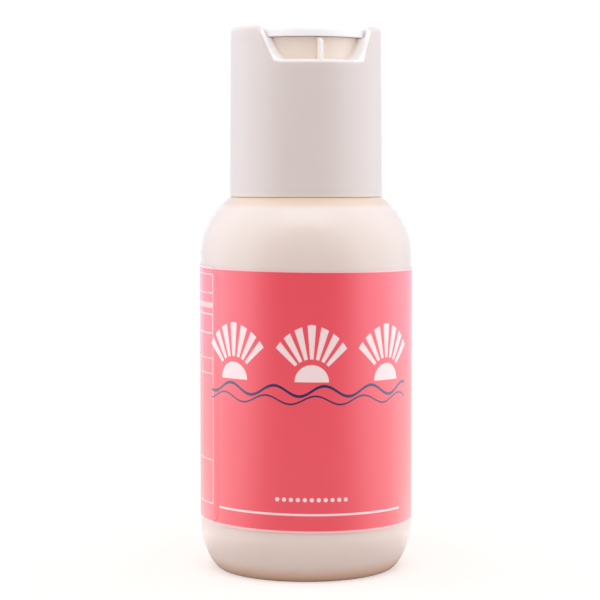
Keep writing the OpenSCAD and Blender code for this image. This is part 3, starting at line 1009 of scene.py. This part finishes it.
def recess_rib(sizes):
    """The upright rib in the middle of the recess, with its top sloping to the front."""
    back, front = sizes.back_radius, sizes.top_radius - 0.15 * MM
    top, foot = sizes.block_high, sizes.floor_height - OVER
    drop = 0.7 * MM
    inner = back - OVER
    corners = [(inner, foot), (front, foot), (front, top - drop), (back, top), (inner, top)]
    half = sizes.rib_width / 2
    rings = [[Vector((x, -y, z)) for y, z in corners] for x in (-half, half)]
    rib = skin("rib", rings, loop=True, round_axis=False)
    soften = rib.modifiers.new("Soft edges", "BEVEL")
    soften.width = 0.1 * MM
    soften.segments = 3
    settle(rib)
    return rib


def valve_post(sizes, disc):
    """The post that leads the port up to the rotary valve, hollowed to the valve's curve."""
    post_radius, clearance = 2.9 * MM, 0.06 * MM
    foot = Vector((0, 0, sizes.deck_high - OVER))
    post = bar("post", post_radius, foot, Vector((0, 0, disc.pivot_height)))
    reach = Vector((2 * post_radius, 0, 0))
    middle = Vector((0, 0, disc.pivot_height))
    seat = bar("seat", disc.valve_radius + clearance, middle - reach, middle + reach, sides=128)
    work_in(post, seat, "DIFFERENCE")
    return post


class OBJECT_OT_closure(bpy.types.Operator):
    """Mould the threaded closure with its recess, port and pivot sockets"""

    bl_idname = "object.sunscreen_closure"
    bl_label = "Closure"

    def execute(self, context):
        scene = context.scene
        sizes, disc, threads = scene.closure_sizes, scene.disc_sizes, scene.thread_sizes
        rings = []
        for turn in closure_turns(sizes):
            rings.append([around(p.x, p.y, turn) for p in closure_outline(sizes, turn)])
        piece = skin("closure_shell", rings)
        work_in(piece, recess_rib(sizes), "UNION")
        work_in(piece, valve_post(sizes, disc), "UNION")
        low, high = Vector((0, 0, sizes.deck_low - OVER)), Vector((0, 0, disc.pivot_height))
        work_in(piece, bar("port", disc.port_radius, low, high), "DIFFERENCE")
        pin_play, end_play = 0.05 * MM, 0.1 * MM
        end = Vector((disc.pin_tip + end_play, 0, 0))
        sockets = bar("sockets", disc.pin_radius + pin_play, high - end, high + end)
        work_in(piece, sockets, "DIFFERENCE")
        root, crest = sizes.inside_radius, threads.closure_crest
        start, turns = threads.closure_start, threads.closure_turns
        work_in(piece, thread("closure_thread", threads, root, crest, start, turns), "UNION")
        plastic = moulded_pp("Injection-moulded polypropylene", sizes.tint, closure=sizes)
        dress(piece, "closure", "closure_plastic", plastic)
        return {"FINISHED"}


def disc_plate(sizes):
    """The round plate with its thumb hollow."""
    under, rim = sizes.top - sizes.thickness, 1.1 * MM
    ball = Vector((0, sizes.radius / 2, sizes.top - sizes.hollow_depth + sizes.hollow_ball))
    edge = rounded(
        [
            (sizes.radius - 1 * MM, under),
            (sizes.radius, under, 0.15 * MM),
            (sizes.radius - 0.35 * MM, sizes.top, (0.75 * MM, 0.37 * MM)),
            (sizes.radius - rim, sizes.top),
        ],
        steps=6,
    )
    rows, hollow_blend = 36, 0.08 * MM
    inward = [(sizes.radius - rim) * (1 - i / rows) for i in range(1, rows + 1)]
    outline = [Vector((0, under)), *edge, *(Vector((radius, sizes.top)) for radius in inward)]
    rings = turned(outline, 144)
    for ring in rings:
        for at in ring[-rows:]:
            flat = sizes.hollow_ball**2 - (at.x - ball.x) ** 2 - (at.y - ball.y) ** 2
            hollow = ball.z - math.sqrt(max(0, flat)) if flat > 0 else sizes.top + 1
            at.z = -smooth_larger(-hollow, -sizes.top, hollow_blend)
    return skin("tilting_disc", rings)


def spout(sizes):
    """The spout and rotary valve, cut to the curve that the mouth turns through."""
    start = Vector((0, 0, sizes.spout_height))
    pivot = Vector((0, 0, sizes.pivot_height))
    nozzle = bar("nozzle", sizes.spout_radius, start, start - Vector((0, sizes.radius, 0)))
    half = Vector((sizes.valve_width / 2, 0, 0))
    valve = bar("valve", sizes.valve_radius, pivot - half, pivot + half, sides=128, end_round=0.15 * MM)
    # A block wider than the disc keeps the part of the valve under its plate
    width, depth = 12 * MM, 9 * MM
    top = sizes.top - sizes.thickness + OVER
    corners = ((-width, top - depth), (width, top - depth), (width, top), (-width, top))
    block = [[Vector((x, y, z)) for y, z in corners] for x in (-width, width)]
    work_in(valve, skin("keep", block, loop=True, round_axis=False), "INTERSECT")
    work_in(nozzle, valve, "UNION")
    reach = Vector((width, 0, 0))
    sweep = bar("sweep", sizes.mouth_radius, pivot - reach, pivot + reach, sides=160)
    work_in(nozzle, sweep, "INTERSECT")
    return nozzle


def spout_channel(sizes):
    """The channel from the mouth to the valve's port, which lines up when the disc is open."""
    bend = (sizes.pivot_height - sizes.spout_height) / math.cos(sizes.open_tilt)
    level = sizes.spout_height
    end = Vector((0, bend * math.sin(sizes.open_tilt), level))
    channel = bar("channel", sizes.spout_bore, Vector((0, -sizes.radius - OVER, level)), end)
    down = Vector((0, math.sin(sizes.open_tilt), -math.cos(sizes.open_tilt)))
    pivot = Vector((0, 0, sizes.pivot_height))
    outlet = pivot + down * (sizes.valve_radius + OVER)
    port = bar("port", sizes.port_radius, pivot + down * bend, outlet)
    work_in(channel, port, "UNION")
    return channel


class OBJECT_OT_disc(bpy.types.Operator):
    """Mould the tilting disc with its spout, rotary valve and pivot pins"""

    bl_idname = "object.sunscreen_disc"
    bl_label = "Disc"

    def execute(self, context):
        sizes = context.scene.disc_sizes
        piece = disc_plate(sizes)
        work_in(piece, spout(sizes), "UNION")
        for side in (-1, 1):
            root = Vector((side * (sizes.radius - sizes.pin_root), 0, sizes.pivot_height))
            tip = Vector((side * sizes.pin_tip, 0, sizes.pivot_height))
            pin = bar("pin", sizes.pin_radius, root, tip, sides=48, end_round=0.15 * MM)
            work_in(piece, pin, "UNION")
        work_in(piece, spout_channel(sizes), "DIFFERENCE")
        plastic = moulded_pp("Polished polypropylene", sizes.tint, disc=sizes)
        dress(piece, "disc", "closure_plastic", plastic)
        return {"FINISHED"}


def lamp(name, at, target, width, height, watts, tint, mirrored=True):
    """A softbox that faces the target."""
    light = bpy.data.lights.new(name, "AREA")
    light.shape, light.size, light.size_y = "RECTANGLE", width, height
    light.energy, light.color = watts, tint
    holder = bpy.data.objects.new(name, light)
    holder.location = at
    holder.rotation_euler = (target - at).to_track_quat("-Z", "Y").to_euler()
    holder.visible_camera, holder.visible_glossy = False, mirrored
    bpy.context.scene.collection.objects.link(holder)


def bright_sides(tree, direction, settings, most, behind):
    """Brightness that is nothing on the camera's side, most at the sides and less again behind."""
    camera_side = around(1, 0, settings.side)
    facing = chain(tree, VECTORS, direction, ("DOT_PRODUCT", camera_side)).outputs["Value"]
    steps = (
        (settings.shine_from, settings.shine_to, most),
        (settings.rear_from, settings.rear_to, behind - most),
    )
    levels = []
    for start, end, level in steps:
        span = {"Value": facing, "From Min": math.cos(start), "From Max": math.cos(end), "To Max": level}
        levels.append(add(tree, "ShaderNodeMapRange", span, interpolation_type="SMOOTHSTEP"))
    return chain(tree, MATHS, levels[0], ("ADD", levels[1]))


def stage_world(settings):
    """A soft fill from all round. The camera sees it white, and reflections see its bright sides."""
    world = bpy.data.worlds.new("Studio")
    bpy.context.scene.world = world
    world.use_nodes = True
    tree = world.node_tree
    tree.nodes.clear()
    rays = add(tree, "ShaderNodeLightPath").outputs
    direction = add(tree, "ShaderNodeTexCoord").outputs["Generated"]
    level = bright_sides(tree, direction, settings, settings.shine, settings.rear_shine)
    shine = chain(tree, VECTORS, level, ("MULTIPLY", settings.lamps))
    seen = [
        (rays["Is Glossy Ray"], shine),
        (rays["Is Transmission Ray"], WHITE),
        (rays["Is Camera Ray"], WHITE),
    ]
    sky = add(tree, "ShaderNodeBackground", {"Color": layered(tree, (*settings.fill, 1), seen)})
    add(tree, "ShaderNodeOutputWorld", {"Surface": sky})


def studio_paper(settings):
    """Seamless paper, rolled out flat: matt, and lifted to white where the camera sees it.

    Reflections see it brighter at the sides, but not close to the bottle, where it is in shade.
    """
    material, tree, place = new_material("Studio paper")
    grain = relief(tree, place, [(2 * MM, 0.01 * MM, 2.0)])
    paper = add(tree, "ShaderNodeBsdfDiffuse", {"Color": (*settings.floor, 1), "Normal": grain})
    outward = chain(tree, VECTORS, place, ("NORMALIZE",))
    sides = bright_sides(tree, outward, settings, settings.floor_shine, settings.rear_floor_shine)
    distance = chain(tree, VECTORS, place, ("LENGTH",)).outputs["Value"]
    span = {"Value": distance, "From Min": 12 * MM, "From Max": 34 * MM}
    clear = add(tree, "ShaderNodeMapRange", span, interpolation_type="SMOOTHSTEP")
    rays = add(tree, "ShaderNodeLightPath").outputs
    mirrored = chain(tree, MATHS, sides, ("MULTIPLY", clear), ("MULTIPLY", rays["Is Glossy Ray"]))
    lift = chain(tree, MATHS, rays["Is Camera Ray"], ("MULTIPLY", settings.floor_lift))
    strength = chain(tree, MATHS, lift, ("ADD", mirrored))
    glow = add(tree, "ShaderNodeEmission", {"Color": WHITE, "Strength": strength})
    both = add(tree, "ShaderNodeAddShader", {0: paper, 1: glow})
    add(tree, "ShaderNodeOutputMaterial", {"Surface": both})
    return material


class OBJECT_OT_stage(bpy.types.Operator):
    """Set up the floor, the lamps and the camera"""

    bl_idname = "object.sunscreen_stage"
    bl_label = "Stage"

    def execute(self, context):
        settings, scene = context.scene.stage_settings, context.scene
        reach, paper_depth = settings.floor_reach, 2 * MM
        outline = [(0, 0), (reach, 0), (reach, -paper_depth), (0, -paper_depth)]
        floor = skin("paper_floor", turned([Vector(corner) for corner in outline], 96))
        floor.data.materials.append(studio_paper(settings))
        middle = Vector((0, 0, CLOSURE_BOX[1].z / 2))
        side, tint, tall = settings.side, settings.lamps, settings.lamp_height
        # The world gives the soft reflections at the sides, so these lamps aren't mirrored
        wide, watts = settings.side_width, settings.side_power
        for name, turn in (("lamp_left", -settings.side_turn), ("lamp_right", settings.side_turn)):
            at = around(settings.side_distance, settings.side_height, side + turn)
            lamp(name, at, middle, wide, tall, watts, tint, mirrored=False)
        # The lamp above hangs a little to the front, so that the shoulder shows it
        at = around(settings.top_distance, settings.top_height, side)
        lamp("lamp_top", at, middle, settings.top_width, tall, settings.top_power, tint)
        stage_world(settings)

        view = bpy.data.cameras.new("camera")
        view.lens, view.sensor_width = settings.lens, 36
        view.shift_x = -settings.off_middle
        holder = bpy.data.objects.new("camera", view)
        holder.location = around(settings.distance, settings.height, side)
        holder.rotation_euler = (math.pi / 2 - settings.pitch, 0, side)
        scene.collection.objects.link(holder)
        scene.camera = holder
        scene.view_settings.view_transform = "Standard"
        return {"FINISHED"}


class VIEW3D_PT_bottle(bpy.types.Panel):
    """The pieces and sizes of the bottle"""

    bl_idname = "VIEW3D_PT_sunscreen_bottle"
    bl_label = "Sunscreen bottle"
    bl_space_type = "VIEW_3D"
    bl_region_type = "UI"
    bl_category = "Bottle"

    def draw(self, context):
        for operator in OPERATORS:
            self.layout.operator(operator.bl_idname)
        for name in SETTINGS:
            settings, box = getattr(context.scene, name), self.layout.box()
            for key in settings.bl_rna.properties.keys():
                if key not in ("rna_type", "name"):
                    box.prop(settings, key)


SETTINGS = {
    "bottle_sizes": BottleSizes,
    "thread_sizes": ThreadSizes,
    "label_sizes": LabelSizes,
    "closure_sizes": ClosureSizes,
    "disc_sizes": DiscSizes,
    "stage_settings": StageSettings,
}
OPERATORS = (
    OBJECT_OT_bottle,
    OBJECT_OT_label,
    OBJECT_OT_liner,
    OBJECT_OT_closure,
    OBJECT_OT_disc,
    OBJECT_OT_stage,
)
CLASSES = (*SETTINGS.values(), *OPERATORS, VIEW3D_PT_bottle)


def register():
    for kind in CLASSES:
        bpy.utils.register_class(kind)
    for name, group in SETTINGS.items():
        setattr(bpy.types.Scene, name, bpy.props.PointerProperty(type=group))


def unregister():
    for name in SETTINGS:
        delattr(bpy.types.Scene, name)
    for kind in reversed(CLASSES):
        bpy.utils.unregister_class(kind)


def main():
    register()
    bpy.ops.object.sunscreen_bottle()
    bpy.ops.object.sunscreen_label()
    bpy.ops.object.sunscreen_liner()
    bpy.ops.object.sunscreen_closure()
    bpy.ops.object.sunscreen_disc()
    bpy.ops.object.sunscreen_stage()


if __name__ == "__main__":
    main()
